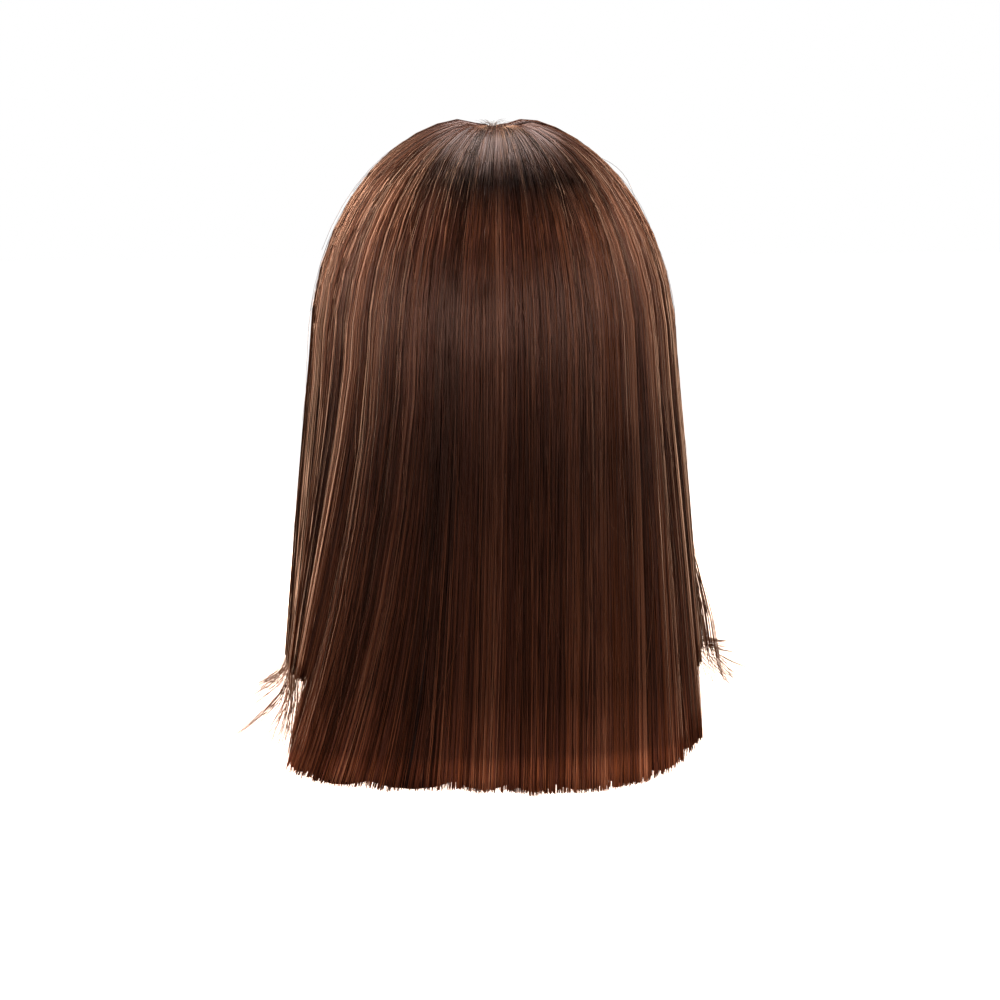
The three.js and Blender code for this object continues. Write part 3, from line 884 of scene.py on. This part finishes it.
def merged_copy(node):
    """A copy of a node's mesh with its loose corners joined and its triangles paired."""
    shape = bmesh.new()
    shape.from_mesh(frame["nodes"][node].data)
    bmesh.ops.remove_doubles(shape, verts=shape.verts, dist=WELD)
    limit = math.radians(FLAT_ENOUGH)
    bmesh.ops.join_triangles(
        shape, faces=shape.faces, angle_face_threshold=limit, angle_shape_threshold=limit, cmp_seam=False
    )
    return shape


def finished_mesh(shape, name):
    mesh = bpy.data.meshes.new(name)
    shape.to_mesh(mesh)
    shape.free()
    mesh.polygons.foreach_set("use_smooth", np.ones(len(mesh.polygons), bool))
    return mesh


def make_mass(node, material):
    """The body of a piece of hair: the node's own form, a little smaller and ending above the tips."""
    shape = merged_copy(node)
    low = min(v.co.z for v in shape.verts)
    top = max(v.co.z for v in shape.verts)
    shape.normal_update()
    room = towards_cap(np.array([v.co for v in shape.verts]))[1]
    for vert, inset in zip(shape.verts, np.clip(room * MASS_ROOM_SHARE, 0, MASS_INSET)):
        vert.co -= vert.normal * inset
        vert.co.z += MASS_TIP_LIFT * ((top - vert.co.z) / (top - low)) ** MASS_LIFT_POWER
    made = new_object(node + "_mass", finished_mesh(shape, node + "_mass"), material, slot_of(node))
    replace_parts(made, node)


def make_cloth(node, material):
    """A rounder copy of a thin piece of cloth."""
    name = node + "_cloth"
    made = new_object(name, finished_mesh(merged_copy(node), name), material, slot_of(node))
    rounder = made.modifiers.new("rounder", "SUBSURF")
    rounder.levels = 2
    rounder.render_levels = 2
    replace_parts(made, node)


def replace_node(node, mesh, material):
    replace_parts(new_object(mesh.name, mesh, material, slot_of(node)), node)


for number, row in enumerate(STRAND_PIECES):
    piece = dict(zip(PIECE_COLUMNS, row))
    replace_node(piece["node"], make_strands(piece, number), HAIR)
for hair_node in LOCKS:
    make_mass(hair_node, HAIR_MASS)
make_cloth("cap", CAP_NET)
make_cloth("part_strip", PART_LACE)
for number, row in enumerate(FANS, len(STRAND_PIECES)):
    fan = dict(zip(FAN_COLUMNS, row))
    replace_node(fan["node"], make_spread(fan, number), HAIR)

HAIR_SLOT = slot_of("hair_back")
LOOSE_FROM = len(STRAND_PIECES) + len(FANS)
new_object("flyaway_strands", make_flyaways(LOOSE_FROM), HAIR, HAIR_SLOT)
new_object("crossing_strands", make_crossing_hairs(LOOSE_FROM + 1), HAIR, HAIR_SLOT)
new_object("baby_strands", make_baby_hairs(LOOSE_FROM + 2), FINE_HAIR, HAIR_SLOT)
new_object("edge_strands", make_edge_strands(LOOSE_FROM + 3), HAIR, HAIR_SLOT)


# The floor, the light and the camera
CAMERA_AZIMUTH = 172
CAMERA_ELEVATION = 8
CAMERA_DISTANCE = 1.9
PHOTO_WIDTH = 0.565
AIM = Vector((-0.0041, 0, -0.2061))
FLOOR_DROP = 0.4785
FLOOR_SIZE = 6
FLOOR_LIT_RADIUS = 0.5
FLOOR_WHITE_RADIUS = 1.5

LIGHT_COLUMNS = ("name", "azimuth", "elevation", "distance", "width", "height", "power", "color")
LIGHTS = (
    ("overhead", 352, 76, 1.2, 0.6, 0.6, 17, (0.96, 0.95, 1.0)),
    ("behind the camera", 172, 16, 2.4, 1.5, 0.9, 50, (1.0, 0.91, 0.96)),
    ("ahead", 352, 2, 1.6, 1.4, 0.5, 22, (1.0, 0.62, 0.4)),
    ("ahead on the left", 44, 12, 1.6, 1.2, 1.6, 90, (1.0, 0.63, 0.42)),
    ("ahead on the right", 304, 12, 1.6, 1.2, 1.6, 56, (1.0, 0.63, 0.42)),
    ("high on the left", 42, 38, 1.6, 1.0, 0.8, 9, (1.0, 0.68, 0.46)),
)
DIM_LIGHT = (0.06, 0.048, 0.042, 1)


def direction(azimuth, elevation):
    turn, rise = math.radians(azimuth), math.radians(elevation)
    return Vector((math.sin(turn) * math.cos(rise), -math.cos(turn) * math.cos(rise), math.sin(rise)))


def place_facing_aim(name, data, azimuth, elevation, distance):
    made = bpy.data.objects.new(name, data)
    bpy.context.scene.collection.objects.link(made)
    towards = direction(azimuth, elevation)
    made.location = AIM + towards * distance
    made.rotation_euler = towards.to_track_quat("Z", "Y").to_euler()
    return made


def make_camera():
    data = bpy.data.cameras.new("camera")
    data.sensor_width = 36
    data.lens = data.sensor_width * CAMERA_DISTANCE / PHOTO_WIDTH
    made = place_facing_aim("camera", data, CAMERA_AZIMUTH, CAMERA_ELEVATION, CAMERA_DISTANCE)
    bpy.context.scene.camera = made


def make_light(light):
    data = bpy.data.lights.new(light["name"], "AREA")
    data.shape = "RECTANGLE"
    data.size = light["width"]
    data.size_y = light["height"]
    data.energy = light["power"]
    data.color = light["color"]
    made = place_facing_aim(light["name"], data, light["azimuth"], light["elevation"], light["distance"])
    made.visible_camera = False


def floor_material():
    """Pale near the object, and as white as the background farther out."""
    shader = Shader("floor", Base_Color=(0.8, 0.8, 0.8, 1), Roughness=0.9, Specular_IOR_Level=0.0)
    away = shader.node("ShaderNodeVectorMath", {"operation": "LENGTH"}, (shader.object_place(),), output=1)
    radii = {"From Min": FLOOR_LIT_RADIUS, "From Max": FLOOR_WHITE_RADIUS, "To Min": 0.55, "To Max": 1.0}
    glow = shader.node("ShaderNodeMapRange", inputs={"Value": away, **radii})
    shader.feed("Emission Color", glow)
    shader.surface.inputs["Emission Strength"].default_value = 1.0
    return shader.material


def make_floor():
    shape = bmesh.new()
    bmesh.ops.create_grid(shape, x_segments=1, y_segments=1, size=FLOOR_SIZE)
    bmesh.ops.translate(shape, verts=shape.verts, vec=(0, 0, -FLOOR_DROP))
    mesh = bpy.data.meshes.new("floor")
    shape.to_mesh(mesh)
    shape.free()
    floor = bpy.data.objects.new("floor", mesh)
    bpy.context.scene.collection.objects.link(floor)
    mesh.materials.append(floor_material())
    floor.visible_glossy = False
    floor.visible_diffuse = False


def make_world():
    """White behind the object, and a dim even light on it."""
    world = bpy.data.worlds.new("studio")
    world.use_nodes = True
    bpy.context.scene.world = world
    nodes, links = world.node_tree.nodes, world.node_tree.links
    background = nodes["Background"]
    path = nodes.new("ShaderNodeLightPath")
    color = nodes.new("ShaderNodeMix")
    color.data_type = "RGBA"
    color.inputs[6].default_value = DIM_LIGHT
    color.inputs[7].default_value = (1, 1, 1, 1)
    links.new(path.outputs["Is Camera Ray"], color.inputs[0])
    links.new(color.outputs[2], background.inputs["Color"])


make_camera()
make_floor()
make_world()
for light_row in LIGHTS:
    make_light(dict(zip(LIGHT_COLUMNS, light_row)))
bpy.context.scene.view_settings.view_transform = "Standard"
